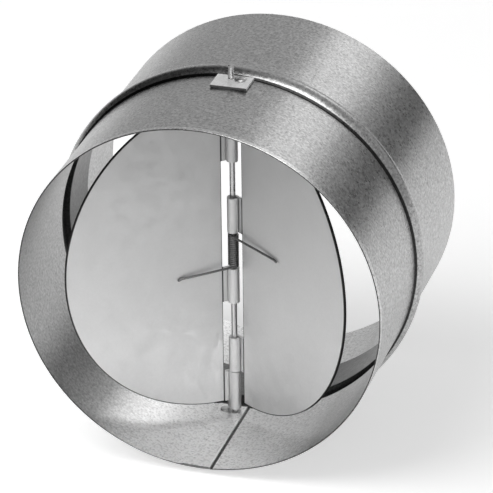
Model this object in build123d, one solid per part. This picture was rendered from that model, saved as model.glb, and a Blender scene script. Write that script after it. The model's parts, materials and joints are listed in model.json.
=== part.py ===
from build123d import *
import math
import os

# Backdraft damper for a round ventilation duct, in millimetres.
# A rolled sheet sleeve holds an upright axle. Two half-disc blades turn on the axle like
# the leaves of a butterfly, and a torsion spring pushes both back to the closed plane.
# The origin is the centre of the outlet mouth. +Y runs along the duct to the inlet,
# +Z runs up along the axle and +X is to the right for someone looking into the outlet.

# Sleeve: one sheet rolled to a tube, with an outward bead and a lap seam at the bottom
sleeve_outer_diameter = 159.0
sheet_thickness = 0.6
sleeve_length = 125.0
bead_position = 60.8
bead_width = 10.5
bead_height = 2.8
lap_width = 12.0
lap_edge_offset = 4.5
seam_gap = 0.3

# Axle, set just in front of the bead
hinge_before_bead = 3.35
axle_diameter = 2.5
axle_hole_clearance = 0.1
axle_top_length = 6.2
axle_bottom_length = 1.2
axle_tip_diameter = 3.2
axle_tip_height = 1.4

# Blades: half-discs with three curled knuckles each
blade_centre_offset = 3.6
blade_wall_gap = 1.0
blade_edge_offset = 4.75
blade_thickness = 1.2
knuckle_pitch = 16.8
knuckle_play = 0.4
knuckle_clearance = 0.08
knuckle_end_clearance = 0.4
curl_angle = 290.0
left_open_angle = 41.5
right_open_angle = 37.5

# Torsion spring, wound round the axle between the two middle knuckles
wire_diameter = 1.0
wire_sides = 6
turn_sides = 10
spring_bore_clearance = 0.2
spring_end_clearance = 0.2
spring_turns = 14
left_leg_reach = 25.5
left_leg_drop = 1.8
right_leg_reach = 30.0
right_leg_drop = 1.3
leg_blade_gap = 0.1

# Retaining plates and their rivets, one pair at each end of the axle
plate_length = 16.0
plate_width = 12.0
plate_thickness = 1.0
plate_bead_gap = 0.5
plate_side_shift = 1.4
plate_seat_gap = 0.05
rivet_from_axle = 4.4
rivet_from_plate_back = 4.0
rivet_shank_diameter = 3.0
rivet_head_diameter = 5.2
rivet_head_height = 1.3
rivet_head_bevel = 0.7
rivet_tail_diameter = 4.0
rivet_tail_height = 0.5
rivet_hole_clearance = 0.1

# Sizes that follow from the driving sizes
outer_radius = sleeve_outer_diameter / 2
lap_inner_radius = outer_radius - 2 * sheet_thickness
blade_radius = lap_inner_radius - blade_wall_gap - blade_centre_offset
bead_front = bead_position - bead_width / 2
hinge_y = bead_front - hinge_before_bead
axle_radius = axle_diameter / 2
knuckle_bore = axle_radius + knuckle_clearance
knuckle_radius = knuckle_bore + blade_thickness
tail_reach = rivet_from_axle + rivet_tail_diameter / 2
knuckle_end = (
    math.sqrt(lap_inner_radius**2 - tail_reach**2) - rivet_tail_height - knuckle_end_clearance
)
plate_bottom = outer_radius + plate_seat_gap
plate_top = plate_bottom + plate_thickness
plate_back = bead_front - plate_bead_gap
rivet_y = plate_back - rivet_from_plate_back
wire_radius = wire_diameter / 2
coil_radius = axle_radius + spring_bore_clearance + wire_radius
coil_half_length = knuckle_pitch / 2 - knuckle_play / 2 - spring_end_clearance - wire_radius


def polar(radius, degrees):
    """A point in the XY plane, at a radius and an angle from +X."""
    return (radius * math.cos(math.radians(degrees)), radius * math.sin(math.radians(degrees)))


def wall_line(depth):
    """The sleeve's wall from rim to rim, at a depth below the outer face.

    The bead is one arc, and its centre is the same at every depth.
    """
    radius = outer_radius - depth
    bead_radius = (bead_width**2 / 4 + bead_height**2) / (2 * bead_height)
    bead_centre = outer_radius + bead_height - bead_radius
    arc_radius = bead_radius - depth
    half_width = math.sqrt(arc_radius**2 - (radius - bead_centre) ** 2)
    arc_start = bead_position - half_width
    arc_end = bead_position + half_width
    crown = (bead_centre + arc_radius, bead_position)
    return [
        Line((radius, 0), (radius, arc_start)),
        ThreePointArc((radius, arc_start), crown, (radius, arc_end)),
        Line((radius, arc_end), (radius, sleeve_length)),
    ]


def sheet_section(outer_depth, inner_depth):
    """The section of one layer of sheet, between two depths below the outer face."""
    outer = outer_radius - outer_depth
    inner = outer_radius - inner_depth
    rims = [
        Line((inner, 0), (outer, 0)),
        Line((inner, sleeve_length), (outer, sleeve_length)),
    ]
    return make_face(Wire(wall_line(outer_depth) + wall_line(inner_depth) + rims))


def bottom_angle(side):
    """Degrees about +Y, from +X, of the point of the bottom wall at a distance to the side."""
    return 90 - math.degrees(math.asin(side / outer_radius))


def upright_hole(diameter, x, y, top):
    """A cutter along Z through the top or the bottom wall."""
    reach = 2 * bead_width
    middle = outer_radius if top else -outer_radius
    return Pos(x, y, middle) * Cylinder(diameter / 2, reach)


def make_sleeve():
    """The rolled sheet. At the bottom one edge is set in by a thickness and laps the other."""
    outer_layer = revolve(sheet_section(0, sheet_thickness), Axis.Y, 360)
    lap_start = bottom_angle(lap_edge_offset)
    seam_side = lap_edge_offset - lap_width
    lap_angle = bottom_angle(seam_side - 3 * sheet_thickness) - lap_start
    lap = revolve(sheet_section(sheet_thickness, 2 * sheet_thickness), Axis.Y, lap_angle)
    lap = Rot(0, lap_start, 0) * lap
    seam_angle = math.degrees(seam_gap / outer_radius)
    seam = revolve(sheet_section(-sheet_thickness, sheet_thickness), Axis.Y, seam_angle)
    seam = Rot(0, bottom_angle(seam_side), 0) * seam
    sleeve = (outer_layer - seam) + lap
    axle_hole = axle_diameter + 2 * axle_hole_clearance
    rivet_hole = rivet_shank_diameter + 2 * rivet_hole_clearance
    for top, rivet_x in ((True, rivet_from_axle), (False, -rivet_from_axle)):
        sleeve -= upright_hole(axle_hole, 0, hinge_y, top)
        sleeve -= upright_hole(rivet_hole, rivet_x, rivet_y, top)
    return sleeve


def make_axle():
    """The rod, with its lower end plain and its upper end peened out into a small tip."""
    bottom = -plate_top - axle_bottom_length
    top = plate_top + axle_top_length
    tip_radius = axle_tip_diameter / 2
    flare = tip_radius - axle_radius
    tip_base = top - axle_tip_height
    section = Polyline(
        (0, bottom),
        (axle_radius, bottom),
        (axle_radius, tip_base),
        (tip_radius, tip_base + flare),
        (tip_radius, top - flare),
        (axle_radius, top),
        (0, top),
        close=True,
    )
    rod = revolve(Plane.XZ * make_face(section), Axis.Z, 360)
    return Pos(0, hinge_y, 0) * rod


def knuckle_spans():
    """The stretches of the axle that one blade's knuckles take, from the bottom up."""
    spans = []
    for lower_edge in (-3.5, 0.5):
        low = lower_edge * knuckle_pitch + knuckle_play / 2
        spans.append((low, low + knuckle_pitch - knuckle_play))
    spans.append((3.5 * knuckle_pitch + knuckle_play / 2, knuckle_end))
    return spans


def make_knuckle(low, high):
    """A tube curled from the sheet's edge, open where it comes back to the sheet."""
    ring = Circle(knuckle_radius) - Circle(knuckle_bore)
    far = 3 * knuckle_radius
    curl_end = curl_angle - 270
    gap_corners = [(0, 0), polar(far, curl_end), polar(far, (curl_end + 90) / 2), polar(far, 90)]
    gap = make_face(Polyline(gap_corners, close=True))
    return Pos(0, 0, low) * extrude(ring - gap, high - low)


def make_blade():
    """The right blade in the closed plane, with its axle on the Z axis.

    The sheet lies behind the axle, so that the knuckles stand proud on the outlet side.
    """
    disc = Pos(blade_centre_offset, 0) * Circle(blade_radius)
    half = Pos(blade_edge_offset + blade_radius, 0) * Rectangle(2 * blade_radius, 3 * blade_radius)
    outline = disc & half
    corner_z = math.sqrt(blade_radius**2 - (blade_edge_offset - blade_centre_offset) ** 2)
    for low, high in knuckle_spans():
        web_high = min(high, corner_z)
        web = Rectangle(2 * blade_edge_offset, web_high - low)
        tongue = Rectangle(knuckle_radius, high - low)
        outline += Pos(blade_edge_offset, (low + web_high) / 2) * web
        outline += Pos(knuckle_radius / 2, (low + high) / 2) * tongue
    back_face = Plane(origin=(0, knuckle_radius, 0), x_dir=(1, 0, 0), z_dir=(0, -1, 0))
    blade = extrude(back_face * outline, blade_thickness)
    for low, high in knuckle_spans():
        blade += make_knuckle(low, high)
    return blade


def leg_path(reach, open_angle, side, start_z, drop):
    """A straight leg from the coil's outlet side to the face of a blade.

    It gives the leg's point on the coil, its tip, and the angle about the coil where it leaves.
    """
    rise = leg_blade_gap + wire_radius - (knuckle_radius - blade_thickness)
    direction = 180 + open_angle if side < 0 else -open_angle
    along = polar(reach, direction)
    out = polar(rise, direction - side * 90)
    tip = (along[0] + out[0], along[1] + out[1])
    tip_distance = math.hypot(*tip)
    tip_angle = math.degrees(math.atan2(tip[1], tip[0]))
    start_angle = tip_angle - side * math.degrees(math.acos(coil_radius / tip_distance))
    return (*polar(coil_radius, start_angle), start_z), (*tip, start_z - drop), start_angle


def make_spring():
    """Close turns round the axle, with one leg to each blade, all from one length of wire.

    The wire and its turns have flat sides, to keep the solid light.
    """
    left_start, left_tip, left_angle = leg_path(
        left_leg_reach, left_open_angle, -1, -coil_half_length, left_leg_drop
    )
    right_start, right_tip, right_angle = leg_path(
        right_leg_reach, right_open_angle, 1, coil_half_length, right_leg_drop
    )
    turns = spring_turns + ((right_angle - left_angle) % 360) / 360
    steps = round(turns * turn_sides)
    coil = []
    for step in range(1, steps):
        share = step / steps
        height = (2 * share - 1) * coil_half_length
        coil.append((*polar(coil_radius, left_angle + 360 * turns * share), height))
    corners = [left_tip, left_start, *coil, right_start, right_tip]
    wire = Wire.make_polygon([Vector(*corner) for corner in corners], close=False)
    section = Plane(origin=wire @ 0, z_dir=wire % 0) * RegularPolygon(wire_radius, wire_sides)
    return Pos(0, hinge_y, 0) * sweep(section, wire, transition=Transition.RIGHT)


def make_plate():
    """The top retaining plate, a small flat piece with holes for the axle and the rivet."""
    outline = Pos(plate_side_shift, plate_back - plate_width / 2) * Rectangle(plate_length, plate_width)
    outline -= Pos(0, hinge_y) * Circle(axle_radius + axle_hole_clearance)
    outline -= Pos(rivet_from_axle, rivet_y) * Circle(
        rivet_shank_diameter / 2 + rivet_hole_clearance
    )
    return Pos(0, 0, plate_bottom) * extrude(outline, plate_thickness)


def upright_cylinder(diameter, bottom, top):
    """A round rod along Z between two heights."""
    return Pos(0, 0, (bottom + top) / 2) * Cylinder(diameter / 2, top - bottom)


def make_rivet(layers):
    """A rivet at the top: a bevelled head on the plate, a shank and a flat tail inside the duct.

    It goes through one layer of sheet, or through two where the seam laps.
    """
    wall_inside = outer_radius - layers * sheet_thickness
    tail_top = math.sqrt(wall_inside**2 - tail_reach**2)
    tail = upright_cylinder(rivet_tail_diameter, tail_top - rivet_tail_height, tail_top)
    shank = upright_cylinder(rivet_shank_diameter, tail_top - rivet_tail_height, plate_top)
    head = upright_cylinder(rivet_head_diameter, plate_top, plate_top + rivet_head_height)
    head = chamfer(head.edges().group_by(Axis.Z)[-1], rivet_head_bevel)
    return Pos(rivet_from_axle, rivet_y, 0) * (tail + shank + head)


turned_over = Rot(0, 180, 0)
blade = make_blade()
parts = {
    "sleeve": make_sleeve(),
    "axle": make_axle(),
    "left_blade": Pos(0, hinge_y, 0) * Rot(0, 0, left_open_angle) * turned_over * blade,
    "right_blade": Pos(0, hinge_y, 0) * Rot(0, 0, -right_open_angle) * blade,
    "torsion_spring": make_spring(),
    "top_plate": make_plate(),
    "bottom_plate": turned_over * make_plate(),
    "top_rivet": make_rivet(1),
    "bottom_rivet": turned_over * make_rivet(2),
}

os.makedirs("parts", exist_ok=True)
for name, shape in parts.items():
    export_step(shape, f"parts/{name}.step")
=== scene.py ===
import json
import math

import bpy
from mathutils import Matrix, Vector


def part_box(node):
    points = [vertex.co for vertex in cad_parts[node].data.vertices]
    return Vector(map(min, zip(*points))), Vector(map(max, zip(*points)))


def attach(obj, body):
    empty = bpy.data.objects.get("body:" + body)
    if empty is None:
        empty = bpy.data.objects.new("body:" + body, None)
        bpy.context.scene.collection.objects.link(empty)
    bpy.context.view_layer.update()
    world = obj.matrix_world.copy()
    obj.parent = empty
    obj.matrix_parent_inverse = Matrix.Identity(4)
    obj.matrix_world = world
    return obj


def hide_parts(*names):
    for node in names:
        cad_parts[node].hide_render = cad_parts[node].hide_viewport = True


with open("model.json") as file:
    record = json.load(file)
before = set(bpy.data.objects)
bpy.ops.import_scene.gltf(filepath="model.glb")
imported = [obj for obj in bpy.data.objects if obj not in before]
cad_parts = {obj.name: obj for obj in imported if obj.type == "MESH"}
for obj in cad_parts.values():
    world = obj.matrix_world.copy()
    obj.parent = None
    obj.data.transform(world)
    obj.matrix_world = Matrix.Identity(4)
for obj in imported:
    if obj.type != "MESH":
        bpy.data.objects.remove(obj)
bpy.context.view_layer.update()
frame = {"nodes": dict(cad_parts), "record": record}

# Sizes are in metres, and those that the frame holds are read from it.
MM = 0.001
MOUNTS = {mount["name"]: mount for mount in frame["record"]["mounts"]}
JOINTS = {joint["name"]: joint for joint in frame["record"]["behaviour"]["joints"]}

# The sleeve: a rolled sheet with a round bead and a lap seam at the bottom. The margin keeps the
# bead's round crown inside the CAD's box. The rim's middle is a share of the wall's thickness.
SLEEVE_LOW, SLEEVE_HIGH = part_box("sleeve")
SLEEVE_RADIUS = MOUNTS["inlet_spigot"]["dims"]["r_mm"] * MM
SLEEVE_LENGTH = SLEEVE_HIGH.y
SLEEVE_SIDES = 320
SHEET = 0.6 * MM
RIM_ROUND = 0.1 * MM
RIM_MIDDLE = 0.75
ROUND_MARGIN = 0.03 * MM
BEAD_HEIGHT = SLEEVE_HIGH.x - SLEEVE_RADIUS - ROUND_MARGIN
BEAD_WIDTH = 10.5 * MM
BEAD_MIDDLE = SLEEVE_LENGTH - MOUNTS["inlet_spigot"]["dims"]["length_mm"] * MM - BEAD_WIDTH / 2
BEAD_START = BEAD_MIDDLE - BEAD_WIDTH / 2
BEAD_END = BEAD_MIDDLE + BEAD_WIDTH / 2
BEAD_REACH = 0.75 * BEAD_WIDTH
BEAD_STEPS = 44
FOOT_BLEND = 0.35 * MM
LAP_EDGE = 4.5 * MM
LAP_WIDTH = 12 * MM
LAP_STEP = 0.05 * MM
JOGGLE = 1.8 * MM
SEAM_LINE_WIDTH = 0.3 * MM
SEAM_LINE_DEPTH = 0.35 * MM

# The hinge and the blades. At rest each blade stands open by the angle through which its joint can
# close it. The offsets run from the axle along a blade, to its disc's centre and to its straight
# side. The face depth is how far behind the axle's middle a blade's outlet face lies.
HINGE = Vector(JOINTS["left_blade_hinge"]["pos_m"])
LEFT_OPEN = math.radians(-JOINTS["left_blade_hinge"]["range_deg"][0])
RIGHT_OPEN = math.radians(JOINTS["right_blade_hinge"]["range_deg"][1])
BLADE_FACE_DEPTH = 1.33 * MM
BLADE_RADIUS = 73.7 * MM
BLADE_CENTRE_OFFSET = 3.6 * MM
BLADE_EDGE_OFFSET = 4.75 * MM
EDGE_ROUND = 0.12 * MM

# The axle's hammered end, as shares of its widest radius at depths below the top.
AXLE_RADIUS = 1.25 * MM
AXLE_EDGE = 0.25 * MM
PEEN_DEPTH = 1.5 * MM
PEEN_SHAPE = [(0.95, 1.1 * MM), (1.0, 0.8 * MM), (1.0, 0.5 * MM), (0.85, 0.15 * MM), (0.45, 0.0)]

# The torsion spring. A leg's reach is along its blade, and its drop is from the coil's end. The
# wire's ends are rounded by rings at these angles, in radians.
WIRE_RADIUS = 0.5 * MM
WIRE_SIDES = 14
WIRE_END_ANGLES = (0.45, 0.9, 1.35)
COIL_RADIUS = 1.95 * MM
COIL_HALF_LENGTH = 7.5 * MM
SPRING_TURNS = 14
TURN_STEPS = 24
LEG_GAP = 0.1 * MM
LEFT_REACH = 25.5 * MM
LEFT_DROP = 1.8 * MM
RIGHT_REACH = 30 * MM
RIGHT_DROP = 1.3 * MM
TIP_HOOK = 1.6 * MM
TIP_BEND = 0.5 * MM

# The retaining plates and their blind rivets.
PLATE_FRONT = MOUNTS["outlet_spigot"]["dims"]["length_mm"] * MM
HEAD_HEIGHT = 1.3 * MM
HEAD_EDGE = 0.1 * MM
DOME_FOOT = 0.35 * MM
DOME_STEPS = 9
PIN_HOLE_RADIUS = 0.8 * MM
PIN_HOLE_BOTTOM = 0.64 * MM
PIN_HOLE_DEPTH = 0.25 * MM
SHANK_RADIUS = 1.5 * MM
TAIL_RADIUS = 2 * MM
TAIL_FACE = 1.6 * MM
TAIL_HEIGHT = 0.5 * MM
TAIL_EDGE = 0.12 * MM

# Painted light and shade in the metal's tone. A band is (start, end, share): between its ends the
# tone is multiplied by the share. The seam's painted highlight and shadow only lie below the seam's
# top. The painted shade along a blade's edge starts on its disc past the knuckles, which stay pale.
BAND_BLUR = 0.15 * MM
BEFORE_RIM = -1 * MM
# The width of the painted shade in the rear crease.
CREASE = 0.9 * MM
# Where the painted shade on the inner wall behind the bead ends.
SHADE_BEHIND_BEAD_END = 90 * MM
# The width and share of the painted shade along a blade's edge.
EDGE_SHADE_WIDTH = 0.5 * MM
EDGE_SHADE_SHARE = 0.08
PAST_KNUCKLES = BLADE_EDGE_OFFSET - 0.7 * MM
# Outside: a painted highlight on the rim, painted shade in the creases at the bead's feet, and a painted
# shade line just behind the bead's crown.
RIM_HIGHLIGHT = (BEFORE_RIM, 2.4 * MM, 1.35)
FRONT_CREASE_SHADE = (BEAD_START - 0.6 * MM, BEAD_START + 0.8 * MM, 0.07)
SHADE_BEHIND_CROWN = (BEAD_MIDDLE + 2.2 * MM, BEAD_MIDDLE + 3.4 * MM, 0.15)
REAR_CREASE_SHADE = (BEAD_END - CREASE * 0.2, BEAD_END + CREASE * 0.6, 0.2)
OUTSIDE_LIGHT_AND_SHADE = [RIM_HIGHLIGHT, FRONT_CREASE_SHADE, SHADE_BEHIND_CROWN, REAR_CREASE_SHADE]
# Inside: painted shade on the outlet rim's face, in the open bead's groove, and on the wall behind the
# bead.
RIM_FACE_SHADE = (BEFORE_RIM, 0.1 * MM, 0.1)
BEAD_GROOVE_SHADE = (BEAD_START, BEAD_END, 0.1)
# Painted shade on the inner wall from the bead back to its end.
SHADE_BEHIND_BEAD = (BEAD_END, SHADE_BEHIND_BEAD_END, 0.2)
INSIDE_SHADE = [RIM_FACE_SHADE, BEAD_GROOVE_SHADE, SHADE_BEHIND_BEAD]
# Painted highlight and shadow at the lap seam's inner step.
SEAM_HIGHLIGHT = (LAP_EDGE - 0.9 * MM, LAP_EDGE, 1.5)
SEAM_SHADOW = (LAP_EDGE, LAP_EDGE + 1.1 * MM, 0.1)
SEAM_HIGHLIGHT_AND_SHADOW = [SEAM_HIGHLIGHT, SEAM_SHADOW]
SEAM_TOP = -1 * MM
# Painted shade along a blade's straight side at the hinge.
STRAIGHT_SIDE_SHADE = [(BLADE_EDGE_OFFSET - 0.2 * MM, BLADE_EDGE_OFFSET + 0.45 * MM, 0.1)]
# Painted shadow along a plate's front edge.
PLATE_EDGE_SHADOW = [(PLATE_FRONT - 1 * MM, PLATE_FRONT + 0.15 * MM, 0.1)]

# The pattern of every metal. The roughness varies by its spread either way, as the grain and the
# crystals together vary over their range.
GRAIN_SCALE = 900
CLOUD_SCALE = 45
PATTERN_RANGE = (0.3, 1.7)
ROUGHNESS_SPREAD = 0.15
RELIEF_DEPTH = 0.05 * MM
CRYSTAL_RELIEF = 0.5

# The floor, and the studio that the metal mirrors. Angles here are in degrees, first that of the
# edge, where a patch ends, and then that of its core. A flag is (direction, edge, core, share): a
# patch where the light has only that share.
FLOOR_Z = SLEEVE_LOW.z
FLOOR_REACH = 6.0
FLOOR_LIFT = 0.47
FRONT_LIGHT = 0.5
BEHIND_LIGHT = 0.7
PLAIN_LIGHT = 0.34
BEHIND_WAY = (0, 1, 0)
BEHIND_EDGES = (62, 42)
FLAGS = [
    ((-0.8, 0.0, 0.6), 56, 42, 0.08),
    ((0.517, 0.856, 0.0), 21, 9, 0.1),
]

# The camera stands where the photograph's fitted viewpoint is. The picture's size and the focal
# length are in pixels, and the sensor's width is in millimetres, as Blender has it.
CAMERA_AZIMUTH = math.radians(17.12)
CAMERA_ELEVATION = math.radians(26.42)
CAMERA_ROLL = math.radians(-0.70)
CAMERA_DISTANCE = 1.7005
CAMERA_AIM_DEPTH = 0.7 * SLEEVE_RADIUS
CAMERA_SIDE = 0.058 * SLEEVE_RADIUS
CAMERA_RISE = -0.003 * SLEEVE_RADIUS
IMAGE_SIZE = 493
FOCAL_PIXELS = 3953
SENSOR_WIDTH = 36


def new_object(name, data):
    """Links a new object into the scene."""
    thing = bpy.data.objects.new(name, data)
    bpy.context.scene.collection.objects.link(thing)
    return thing


def mesh_object(name, points, faces, sharp_degrees):
    """A smooth-shaded mesh whose edges past an angle stay sharp."""
    mesh = bpy.data.meshes.new(name)
    mesh.from_pydata(points, [], faces)
    mesh.update()
    mesh.shade_smooth()
    mesh.set_sharp_from_angle(angle=math.radians(sharp_degrees))
    return new_object(name, mesh)


class Nodes:
    """A short way to add and link shader nodes."""

    def __init__(self, tree):
        """Starts with an empty node tree."""
        self.tree = tree
        tree.nodes.clear()

    def add(self, kind, **settings):
        """A new node with some settings."""
        node = self.tree.nodes.new(kind)
        for key, value in settings.items():
            setattr(node, key, value)
        return node

    def link(self, out, into):
        """Links an output to an input."""
        self.tree.links.new(out, into)

    def feed(self, socket, value):
        """Gives an input a number, or links an output to it."""
        if isinstance(value, (int, float)):
            socket.default_value = value
        else:
            self.link(value, socket)

    def math(self, operation, *values):
        """A sum or another operation on numbers and outputs."""
        node = self.add("ShaderNodeMath", operation=operation)
        for socket, value in zip(node.inputs, values):
            self.feed(socket, value)
        return node.outputs[0]

    def noise(self, place, scale, detail, roughness):
        """Cloudy noise from 0 to 1."""
        node = self.add("ShaderNodeTexNoise")
        self.link(place, node.inputs["Vector"])
        node.inputs["Scale"].default_value = scale
        node.inputs["Detail"].default_value = detail
        node.inputs["Roughness"].default_value = roughness
        return node.outputs["Fac"]

    def cells(self, place, scale):
        """Cells like zinc crystals, each with its own number from 0 to 1."""
        node = self.add("ShaderNodeTexVoronoi")
        self.link(place, node.inputs["Vector"])
        node.inputs["Scale"].default_value = scale
        split = self.add("ShaderNodeSeparateColor")
        self.link(node.outputs["Color"], split.inputs[0])
        return split.outputs[0]

    def part(self, place, axis):
        """One coordinate of a place."""
        split = self.add("ShaderNodeSeparateXYZ")
        self.link(place, split.inputs[0])
        return split.outputs[axis]

    def distance(self, place, centre):
        """How far a place is from a centre."""
        node = self.add("ShaderNodeVectorMath", operation="DISTANCE")
        self.link(place, node.inputs[0])
        node.inputs[1].default_value = centre
        return node.outputs["Value"]

    def distance_in_plan(self, place, centre):
        """How far a place is from the upright line through a centre."""
        plan = self.add("ShaderNodeVectorMath", operation="MULTIPLY")
        self.link(place, plan.inputs[0])
        plan.inputs[1].default_value = (1, 1, 0)
        return self.distance(plan.outputs["Vector"], (centre.x, centre.y, 0))

    def stretch(self, value, low, high, from_low=0.0, from_high=1.0, interpolation="LINEAR"):
        """A value between two limits, mapped to lie between two others."""
        node = self.add("ShaderNodeMapRange", interpolation_type=interpolation)
        self.feed(node.inputs["Value"], value)
        node.inputs["From Min"].default_value = from_low
        node.inputs["From Max"].default_value = from_high
        node.inputs["To Min"].default_value = low
        node.inputs["To Max"].default_value = high
        return node.outputs["Result"]

    def banded(self, along, bands):
        """A share of the tone that changes with a length, by a list of bands."""
        share = 1.0
        for start, end, level in bands:
            half = (end - start) / 2
            offset = self.math("ABSOLUTE", self.math("SUBTRACT", along, (end + start) / 2))
            inside = self.stretch(offset, 1.0, level, half + BAND_BLUR, half - BAND_BLUR, "SMOOTHSTEP")
            share = self.math("MULTIPLY", inside, share)
        return share

    def where(self, mask, share):
        """A share of the tone that only counts where a mask is 1."""
        return self.math("ADD", self.math("MULTIPLY", self.math("SUBTRACT", share, 1.0), mask), 1.0)

    def toward(self, way, centre, edge, core):
        """1 for directions within core degrees of a centre, falling to 0 at the edge."""
        dot = self.add("ShaderNodeVectorMath", operation="DOT_PRODUCT")
        self.link(way, dot.inputs[0])
        dot.inputs[1].default_value = Vector(centre).normalized()
        edge_cosine = math.cos(math.radians(edge))
        core_cosine = math.cos(math.radians(core))
        return self.stretch(dot.outputs["Value"], 0.0, 1.0, edge_cosine, core_cosine, "SMOOTHSTEP")


def metal(name, tone, metallic=1.0, roughness=0.25, grain=0.1, cloud=0.05, spangle=0.0,
          spangle_scale=220, bump=0.1, painted_marks=()):
    """A grey metal with fine grain, soft clouds, zinc spangle and a fine relief.

    A mark is a function that takes the nodes and the place and gives a share of the tone: painted light
    or shade.
    """
    material = bpy.data.materials.new(name)
    material.use_nodes = True
    nodes = Nodes(material.node_tree)
    output = nodes.add("ShaderNodeOutputMaterial")
    shader = nodes.add("ShaderNodeBsdfPrincipled")
    nodes.link(shader.outputs[0], output.inputs["Surface"])
    shader.inputs["Metallic"].default_value = metallic
    place = nodes.add("ShaderNodeTexCoord").outputs["Object"]
    fine = nodes.noise(place, GRAIN_SCALE, detail=3, roughness=0.6)
    soft = nodes.noise(place, CLOUD_SCALE, detail=3, roughness=0.55)
    crystal = nodes.cells(place, spangle_scale)
    level = tone
    for pattern, spread in ((fine, grain), (soft, cloud), (crystal, spangle)):
        share = nodes.math("MULTIPLY_ADD", pattern, 2 * spread, 1 - spread)
        level = nodes.math("MULTIPLY", level, share)
    for mark in painted_marks:
        level = nodes.math("MULTIPLY", level, mark(nodes, place))
    nodes.link(level, shader.inputs["Base Color"])
    smoothest = roughness * (1 - ROUGHNESS_SPREAD)
    roughest = roughness * (1 + ROUGHNESS_SPREAD)
    rough = nodes.stretch(nodes.math("ADD", fine, crystal), smoothest, roughest, *PATTERN_RANGE)
    nodes.link(rough, shader.inputs["Roughness"])
    nodes.link(relief(nodes, fine, crystal, bump), shader.inputs["Normal"])
    return material


def relief(nodes, fine, crystal, strength):
    """The fine relief of the grain, with each crystal at its own height."""
    bump = nodes.add("ShaderNodeBump")
    bump.inputs["Strength"].default_value = strength
    bump.inputs["Distance"].default_value = RELIEF_DEPTH
    nodes.link(nodes.math("MULTIPLY_ADD", crystal, CRYSTAL_RELIEF, fine), bump.inputs["Height"])
    return bump.outputs[0]


def rings(bands):
    """Painted light and shade in bands round the duct, at places along it."""
    def share(nodes, place):
        return nodes.banded(nodes.part(place, "Y"), bands)
    return share


def seam_lines(bands):
    """A painted highlight and shadow in bands along the lap seam, at places across the bottom wall."""
    def share(nodes, place):
        low_side = nodes.stretch(nodes.part(place, "Z"), 0.0, 1.0, 0.0, SEAM_TOP)
        return nodes.where(low_side, nodes.banded(nodes.part(place, "X"), bands))
    return share


def height_fade(low, low_share, high, high_share):
    """Painted light or shade whose share changes between two heights."""
    def share(nodes, place):
        return nodes.stretch(nodes.part(place, "Z"), low_share, high_share, low, high)
    return share


def painted_edge_shade(side):
    """Painted shade along a blade's edge: round its disc, and along its straight side at the hinge."""
    angle = blade_angle(side)
    centre = HINGE + BLADE_CENTRE_OFFSET * Vector((math.cos(angle), math.sin(angle), 0))

    def share(nodes, place):
        from_axle = nodes.distance_in_plan(place, HINGE)
        on_sheet = nodes.stretch(from_axle, 0.0, 1.0, PAST_KNUCKLES, BLADE_EDGE_OFFSET)
        edge_start = BLADE_RADIUS - EDGE_SHADE_WIDTH
        edge_full = BLADE_RADIUS - EDGE_SHADE_WIDTH / 2
        rim = nodes.stretch(nodes.distance(place, centre), 1.0, EDGE_SHADE_SHARE, edge_start, edge_full)
        straight_side = nodes.banded(from_axle, STRAIGHT_SIDE_SHADE)
        return nodes.math("MULTIPLY", nodes.where(on_sheet, rim), straight_side)
    return share


def sleeve_metal_outside():
    """Galvanised sheet with a painted highlight on the rim, and painted shade in the creases at the
    bead's feet and just behind its crown.
    """
    return metal("galvanised", tone=0.44, roughness=0.3, grain=1.0, spangle=0.06, spangle_scale=700,
                 bump=0.25, painted_marks=[rings(OUTSIDE_LIGHT_AND_SHADE)])


def sleeve_metal_inside():
    """Galvanised sheet with painted shade at the rim's face, in the bead and behind it, painted light at
    the bottom, and a painted highlight and shadow at the seam.
    """
    # Painted light on the lowest part of the inner wall.
    painted_bottom_light = height_fade(low=-0.94 * SLEEVE_RADIUS, low_share=2.2,
                               high=-0.78 * SLEEVE_RADIUS, high_share=1.0)
    return metal("galvanised_inside", tone=0.42, roughness=0.34, grain=0.8, spangle=0.05,
                 spangle_scale=700, bump=0.4,
                 painted_marks=[rings(INSIDE_SHADE), seam_lines(SEAM_HIGHLIGHT_AND_SHADOW), painted_bottom_light])


def blade_metal(name, side):
    """Mill-finish sheet with painted light low down and painted shade towards the top, and painted shade
    along its edges.
    """
    # Painted light low on the blade, fading to painted shade at its top.
    painted_top_shade = height_fade(low=-0.8 * BLADE_RADIUS, low_share=1.12,
                            high=0.9 * BLADE_RADIUS, high_share=0.7)
    return metal(name, tone=0.82, roughness=0.6, grain=0.05, cloud=0.03, spangle=0.02,
                 painted_marks=[painted_top_shade, painted_edge_shade(side)])


def axle_metal():
    """Zinc-plated rod."""
    return metal("axle_steel", tone=0.55, roughness=0.3, grain=0.08)


def spring_metal():
    """Dark spring wire."""
    return metal("spring_steel", tone=0.2, roughness=0.3)


def plate_metal():
    """Pale galvanised strip with a painted shadow along its front edge."""
    return metal("plate_metal", tone=0.92, metallic=0.4, roughness=0.4, grain=0.3, spangle=0.06,
                 painted_marks=[rings(PLATE_EDGE_SHADOW)])


def rivet_metal():
    """Satin aluminium."""
    return metal("rivet_metal", tone=0.6, roughness=0.32, grain=0.08)


def wall_radius(y, depth):
    """The sleeve's radius at a place along it and a depth below its outer face.

    The bead is one arc whose feet run smoothly into the straight wall.
    """
    bead_radius = (BEAD_WIDTH**2 / 4 + BEAD_HEIGHT**2) / (2 * BEAD_HEIGHT)
    bead_centre = SLEEVE_RADIUS + BEAD_HEIGHT - bead_radius
    square = (bead_radius - depth) ** 2 - (y - BEAD_MIDDLE) ** 2
    wall = SLEEVE_RADIUS - depth
    over = bead_centre + math.sqrt(max(0.0, square)) - wall
    return wall + (over + math.hypot(over, FOOT_BLEND)) / 2


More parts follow.
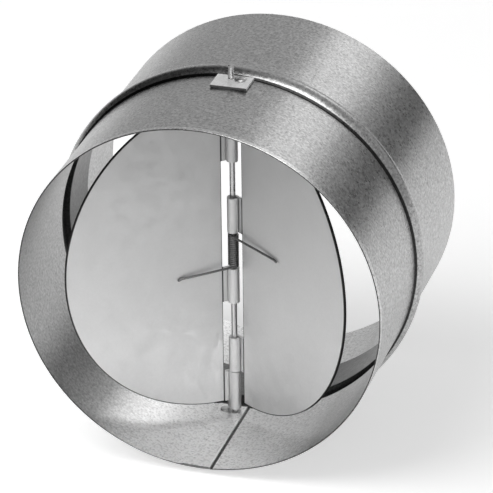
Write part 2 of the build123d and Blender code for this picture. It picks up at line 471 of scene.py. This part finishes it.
def sleeve_places():
    """Places along the sleeve, close together over the bead."""
    start = BEAD_MIDDLE - BEAD_REACH
    over_bead = [start + 2 * BEAD_REACH * step / BEAD_STEPS for step in range(BEAD_STEPS + 1)]
    return [RIM_ROUND] + over_bead + [SLEEVE_LENGTH - RIM_ROUND]


def around_bottom(side):
    """The angle about the duct axis, from straight up through +X, of a point on the bottom wall."""
    return math.pi - math.asin(side / SLEEVE_RADIUS)


def seam_columns():
    """The lines along the sleeve at its lap seam: the inner step, and the fine line outside.

    Each is (angle, depth of the outer face, depth of the inner face).
    """
    seam = LAP_EDGE - LAP_WIDTH
    stops = [
        (LAP_EDGE + LAP_STEP, 0, SHEET),
        (LAP_EDGE, 0, 2 * SHEET),
        (0, 0, 2 * SHEET),
        (seam + SEAM_LINE_WIDTH, 0, 2 * SHEET),
        (seam + SEAM_LINE_WIDTH / 2, SEAM_LINE_DEPTH, 2 * SHEET),
        (seam, 0, 2 * SHEET),
        (seam - JOGGLE, 0, SHEET),
    ]
    return [(around_bottom(side), outer_depth, inner_depth) for side, outer_depth, inner_depth in stops]


def sleeve_columns():
    """All the lines along the sleeve: those of the seam, then evenly round the rest of the duct."""
    columns = seam_columns()
    first = columns[0][0]
    last = columns[-1][0]
    whole = 2 * math.pi - (last - first)
    for step in range(1, SLEEVE_SIDES):
        columns.append((last + whole * step / SLEEVE_SIDES, 0, SHEET))
    return columns


def wall_section(places, outer_depth, inner_depth):
    """The wall cut along the duct, as a ring of (y, radius).

    It runs along the outer face, round the inlet rim, back inside and round the outlet rim.
    """
    section = [(y, wall_radius(y, 0) - outer_depth) for y in places]
    section.append((SLEEVE_LENGTH, wall_radius(SLEEVE_LENGTH, 0) - outer_depth - RIM_ROUND))
    section.append((SLEEVE_LENGTH, wall_radius(SLEEVE_LENGTH, inner_depth) + RIM_ROUND))
    section += [(y, wall_radius(y, inner_depth)) for y in reversed(places)]
    inner_rim = wall_radius(0, inner_depth) + RIM_ROUND
    outer_rim = wall_radius(0, 0) - outer_depth - RIM_ROUND
    middle_rim = inner_rim + RIM_MIDDLE * (outer_rim - inner_rim)
    return section + [(0, inner_rim), (0, middle_rim), (0, outer_rim)]


def make_sleeve():
    """The rolled sheet, with one material outside and another inside and on the outlet rim's face, each
    with its painted light and shade.
    """
    places = sleeve_places()
    columns = sleeve_columns()
    points = []
    for angle, outer_depth, inner_depth in columns:
        section = wall_section(places, outer_depth, inner_depth)
        points += [(radius * math.sin(angle), y, radius * math.cos(angle)) for y, radius in section]
    size = len(section)
    faces = []
    for column in range(len(columns)):
        here = column * size
        there = (column + 1) % len(columns) * size
        for number in range(size):
            after = (number + 1) % size
            faces.append((here + number, there + number, there + after, here + after))
    sleeve = mesh_object("sleeve_sheet", points, faces, sharp_degrees=30)
    sleeve.data.materials.append(sleeve_metal_outside())
    sleeve.data.materials.append(sleeve_metal_inside())
    inner_sides = range(len(places) + 1, size - 1)
    for number, face in enumerate(sleeve.data.polygons):
        face.material_index = 1 if number % size in inner_sides else 0
    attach(sleeve, "root")
    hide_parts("sleeve")


def ring_faces(count, sides):
    """Faces that join a row of rings of points, with a flat cap at each end."""
    faces = []
    for ring in range(count - 1):
        here = ring * sides
        there = here + sides
        for side in range(sides):
            after = (side + 1) % sides
            faces.append((here + side, here + after, there + after, there + side))
    faces.append(tuple(reversed(range(sides))))
    faces.append(tuple(range((count - 1) * sides, count * sides)))
    return faces


def round_end(point, way, radius):
    """Stations that round off a wire's end. A negative radius goes back from the wire's start."""
    return [(point + way * (radius * math.sin(angle)), way, math.cos(angle)) for angle in WIRE_END_ANGLES]


def tube(name, path, radius):
    """A round wire along a list of points, with rounded ends.

    Each station is (point, direction, share of the radius).
    """
    ways = []
    for number in range(len(path)):
        before = path[max(0, number - 1)]
        after = path[min(len(path) - 1, number + 1)]
        ways.append((after - before).normalized())
    stations = list(reversed(round_end(path[0], ways[0], -radius)))
    stations += [(point, way, 1.0) for point, way in zip(path, ways)]
    stations += round_end(path[-1], ways[-1], radius)
    points = []
    for point, way, share in stations:
        across = way.cross(Vector((0, 0, 1))).normalized()
        up = across.cross(way)
        for side in range(WIRE_SIDES):
            angle = 2 * math.pi * side / WIRE_SIDES
            out = across * math.cos(angle) + up * math.sin(angle)
            points.append(tuple(point + out * radius * share))
    return mesh_object(name, points, ring_faces(len(stations), WIRE_SIDES), sharp_degrees=60)


def lathe(name, profile, place, sides):
    """A round piece from a profile of (radius, height), turned about an upright line."""
    points = []
    for radius, height in profile:
        for side in range(sides):
            angle = 2 * math.pi * side / sides
            x = place.x + radius * math.cos(angle)
            y = place.y + radius * math.sin(angle)
            points.append((x, y, height))
    return mesh_object(name, points, ring_faces(len(profile), sides), sharp_degrees=40)


def put_on(thing, material):
    """Gives a piece one material."""
    thing.data.materials.clear()
    thing.data.materials.append(material)


def blade_angle(side):
    """The angle in plan from the axle along a blade. Side is -1 for the left one, 1 for the right."""
    return math.pi + LEFT_OPEN if side < 0 else -RIGHT_OPEN


def leg_line(side, reach, start_z, drop):
    """A leg's tip, and the angle about the axle at which the leg leaves the coil."""
    off_blade = LEG_GAP + WIRE_RADIUS - BLADE_FACE_DEPTH
    along = blade_angle(side)
    across = along - side * math.pi / 2
    tip = Vector((
        reach * math.cos(along) + off_blade * math.cos(across),
        reach * math.sin(along) + off_blade * math.sin(across),
        start_z - drop,
    ))
    reach_in_plan = math.hypot(tip.x, tip.y)
    start_angle = math.atan2(tip.y, tip.x) - side * math.acos(COIL_RADIUS / reach_in_plan)
    return HINGE + tip, start_angle


def bent_tip(start, tip):
    """The leg's last millimetres turn down a little, as cut wire does."""
    way = (tip - start).normalized()
    half_way = tip - way * TIP_HOOK / 2 - Vector((0, 0, TIP_BEND / 4))
    return [tip - way * TIP_HOOK, half_way, tip - Vector((0, 0, TIP_BEND))]


def coil_path(start, end, turns):
    """The spring's helix round the axle, from one angle to another over the coil's length."""
    steps = round(turns * TURN_STEPS)
    points = []
    for step in range(steps + 1):
        share = step / steps
        angle = start + (end - start) * share
        height = (2 * share - 1) * COIL_HALF_LENGTH
        x = COIL_RADIUS * math.cos(angle)
        y = COIL_RADIUS * math.sin(angle)
        points.append(HINGE + Vector((x, y, height)))
    return points


def make_spring():
    """The coil stays with the axle, and each end turn swings with the leg that presses its blade."""
    left_tip, left_angle = leg_line(-1, LEFT_REACH, -COIL_HALF_LENGTH, LEFT_DROP)
    right_tip, right_angle = leg_line(1, RIGHT_REACH, COIL_HALF_LENGTH, RIGHT_DROP)
    extra_turn = (right_angle - left_angle) % (2 * math.pi) / (2 * math.pi)
    turns = SPRING_TURNS + extra_turn
    whole = coil_path(left_angle, left_angle + 2 * math.pi * turns, turns)
    low_turn = whole[: TURN_STEPS + 1]
    high_turn = whole[-TURN_STEPS - 1:]
    middle = whole[TURN_STEPS - 1: len(whole) - TURN_STEPS + 1]
    left_leg = list(reversed(bent_tip(low_turn[0], left_tip)))
    right_leg = bent_tip(high_turn[-1], right_tip)
    coil = tube("spring_coil", middle, WIRE_RADIUS)
    left = tube("spring_left_leg", left_leg + low_turn, WIRE_RADIUS)
    right = tube("spring_right_leg", high_turn + right_leg, WIRE_RADIUS)
    wire = spring_metal()
    for piece, body in ((coil, "root"), (left, "left_flap"), (right, "right_flap")):
        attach(piece, body)
        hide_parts("torsion_spring")
        put_on(piece, wire)


def rivet_profile(head_radius, inner, outer):
    """A blind rivet as (radius, height): flattened tail, shank, low domed head and its pin hole."""
    rim = outer - HEAD_HEIGHT
    tail_top = inner + TAIL_HEIGHT
    profile = [(TAIL_FACE, inner), (TAIL_RADIUS, inner + TAIL_EDGE), (TAIL_RADIUS, tail_top)]
    profile += [(SHANK_RADIUS, tail_top), (SHANK_RADIUS, rim)]
    profile += [(head_radius - HEAD_EDGE, rim), (head_radius, rim + HEAD_EDGE)]
    for step in range(DOME_STEPS):
        angle = math.pi / 2 * step / DOME_STEPS
        height = rim + DOME_FOOT + (outer - rim - DOME_FOOT) * math.sin(angle)
        profile.append((head_radius * math.cos(angle), height))
    return profile + [(PIN_HOLE_RADIUS, outer), (PIN_HOLE_BOTTOM, outer - PIN_HOLE_DEPTH)]


def make_rivet(node, upward, material):
    """One rivet where the CAD has it, with its head outside the duct and its tail inside."""
    low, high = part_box(node)
    sign = 1 if upward else -1
    outer = high.z if upward else -low.z
    inner = low.z if upward else -high.z
    profile = rivet_profile((high.x - low.x) / 2, inner, outer)
    turned = [(radius, sign * height) for radius, height in profile]
    rivet = lathe(node + "_domed", turned, (low + high) / 2, sides=48)
    if not upward:
        rivet.data.flip_normals()
    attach(rivet, "root")
    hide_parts(node)
    put_on(rivet, material)


def make_axle():
    """The rod, plain below and peened above, where the hammered end spreads."""
    low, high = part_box("axle")
    widest = (high.x - low.x) / 2
    profile = [(AXLE_RADIUS - AXLE_EDGE, low.z), (AXLE_RADIUS, low.z + AXLE_EDGE)]
    profile.append((AXLE_RADIUS, high.z - PEEN_DEPTH))
    profile += [(widest * share, high.z - depth) for share, depth in PEEN_SHAPE]
    axle = lathe("axle_rod", profile, HINGE, sides=40)
    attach(axle, "root")
    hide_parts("axle")
    put_on(axle, axle_metal())


def dress_node(node, material):
    """A CAD node that is shown as it is gets its finish in every slot, and softened edges."""
    thing = frame["nodes"][node]
    for slot in thing.material_slots:
        slot.material = material
    bevel = thing.modifiers.new("edge", "BEVEL")
    bevel.width = EDGE_ROUND
    bevel.segments = 2
    bevel.limit_method = "ANGLE"
    bevel.angle_limit = math.radians(40)
    bevel.harden_normals = False


def mirrored_rays(nodes, path):
    """1 for mirrored and refracted rays."""
    return nodes.math("MAXIMUM", path.outputs["Is Glossy Ray"], path.outputs["Is Transmission Ray"])


def make_floor():
    """A pale floor under the sleeve. It looks white but for the shadow that falls on it.

    Its own glow only shows to the camera and in mirrored and refracted rays.
    """
    corners = ((-1, -1), (1, -1), (1, 1), (-1, 1))
    points = [(x * FLOOR_REACH, y * FLOOR_REACH, FLOOR_Z) for x, y in corners]
    mesh = bpy.data.meshes.new("floor")
    mesh.from_pydata(points, [], [(0, 1, 2, 3)])
    floor = new_object("floor", mesh)
    material = bpy.data.materials.new("floor_paper")
    material.use_nodes = True
    nodes = Nodes(material.node_tree)
    output = nodes.add("ShaderNodeOutputMaterial")
    shader = nodes.add("ShaderNodeBsdfPrincipled")
    shader.inputs["Base Color"].default_value = (0.9, 0.9, 0.9, 1)
    shader.inputs["Roughness"].default_value = 0.9
    shader.inputs["Specular IOR Level"].default_value = 0.0
    shader.inputs["Emission Color"].default_value = (1, 1, 1, 1)
    path = nodes.add("ShaderNodeLightPath")
    seen = nodes.math("MAXIMUM", path.outputs["Is Camera Ray"], mirrored_rays(nodes, path))
    nodes.link(nodes.math("MULTIPLY", seen, FLOOR_LIFT), shader.inputs["Emission Strength"])
    nodes.link(shader.outputs[0], output.inputs["Surface"])
    floor.data.materials.append(material)


def mirrored_studio(nodes):
    """The brightness of the studio in each direction: paler behind the damper, with dark flags."""
    way = nodes.add("ShaderNodeTexCoord").outputs["Generated"]
    behind = nodes.toward(way, BEHIND_WAY, *BEHIND_EDGES)
    level = nodes.stretch(behind, FRONT_LIGHT, BEHIND_LIGHT)
    for flag_way, edge, core, share in FLAGS:
        flag = nodes.toward(way, flag_way, edge, core)
        level = nodes.math("MULTIPLY", level, nodes.stretch(flag, 1.0, share))
    return level


def make_world():
    """The metal mirrors the studio, and the camera sees white.

    All other light from the world has one plain level.
    """
    world = bpy.data.worlds.new("studio")
    bpy.context.scene.world = world
    world.use_nodes = True
    nodes = Nodes(world.node_tree)
    output = nodes.add("ShaderNodeOutputWorld")
    path = nodes.add("ShaderNodeLightPath")
    mirrored = mirrored_rays(nodes, path)
    mirrored_level = nodes.math("MULTIPLY", mirrored_studio(nodes), mirrored)
    plain_level = nodes.math("MULTIPLY", nodes.math("SUBTRACT", 1.0, mirrored), PLAIN_LIGHT)
    studio = nodes.add("ShaderNodeBackground")
    nodes.link(nodes.math("ADD", mirrored_level, plain_level), studio.inputs["Strength"])
    white = nodes.add("ShaderNodeBackground")
    white.inputs["Strength"].default_value = 1.0
    mix = nodes.add("ShaderNodeMixShader")
    nodes.link(path.outputs["Is Camera Ray"], mix.inputs["Fac"])
    nodes.link(studio.outputs[0], mix.inputs[1])
    nodes.link(white.outputs[0], mix.inputs[2])
    nodes.link(mix.outputs[0], output.inputs["Surface"])


def make_camera():
    """The photograph's viewpoint: from the outlet side, a little to the right and above."""
    right = Vector((math.cos(CAMERA_AZIMUTH), math.sin(CAMERA_AZIMUTH), 0))
    look = Vector((
        -math.sin(CAMERA_AZIMUTH) * math.cos(CAMERA_ELEVATION),
        math.cos(CAMERA_AZIMUTH) * math.cos(CAMERA_ELEVATION),
        -math.sin(CAMERA_ELEVATION),
    ))
    up = right.cross(look)
    across = math.cos(CAMERA_ROLL) * right + math.sin(CAMERA_ROLL) * up
    upward = -math.sin(CAMERA_ROLL) * right + math.cos(CAMERA_ROLL) * up
    aim = Vector((0, CAMERA_AIM_DEPTH, 0))
    place = aim - CAMERA_DISTANCE * look + CAMERA_SIDE * across + CAMERA_RISE * upward
    data = bpy.data.cameras.new("camera")
    data.sensor_fit = "HORIZONTAL"
    data.sensor_width = SENSOR_WIDTH
    data.lens = FOCAL_PIXELS / IMAGE_SIZE * SENSOR_WIDTH
    data.clip_start = 0.1
    data.clip_end = 20
    camera = new_object("camera", data)
    turned = Matrix((across, upward, -look)).transposed().to_4x4()
    camera.matrix_world = Matrix.Translation(place) @ turned
    bpy.context.scene.camera = camera


def soft_box(name, way, distance, size, radiance):
    """A soft rectangular lamp in a direction from the damper, of a given brightness."""
    light = bpy.data.lights.new(name, "AREA")
    light.shape = "RECTANGLE"
    light.size, light.size_y = size
    light.energy = radiance * math.pi * size[0] * size[1]
    thing = new_object(name, light)
    way = Vector(way).normalized()
    thing.location = Vector((0, SLEEVE_LENGTH / 2, 0)) + distance * way
    thing.rotation_euler = (-way).to_track_quat("-Z", "Y").to_euler()
    thing.visible_camera = False
    return thing


def make_lamps():
    """A key that only shines in the metal, a soft box behind, and a side lamp without any shine."""
    key = soft_box("key", way=(0.22, -0.42, 0.88), distance=2.0, size=(1.3, 1.3), radiance=3.4)
    key.visible_diffuse = False
    soft_box("behind", way=(0.21, 0.856, 0.472), distance=2.2, size=(0.75, 0.6), radiance=1.2)
    side = soft_box("side", way=(-0.42, -0.42, 0.8), distance=2.0, size=(1.4, 1.4), radiance=3.6)
    side.visible_glossy = False


make_sleeve()
make_spring()
rivet_finish = rivet_metal()
make_rivet("top_rivet", True, rivet_finish)
make_rivet("bottom_rivet", False, rivet_finish)
make_axle()
dress_node("left_blade", blade_metal("left_blade_metal", -1))
dress_node("right_blade", blade_metal("right_blade_metal", 1))
plate_finish = plate_metal()
for plate in ("top_plate", "bottom_plate"):
    dress_node(plate, plate_finish)
make_floor()
make_world()
make_camera()
make_lamps()
bpy.context.scene.view_settings.view_transform = "Standard"
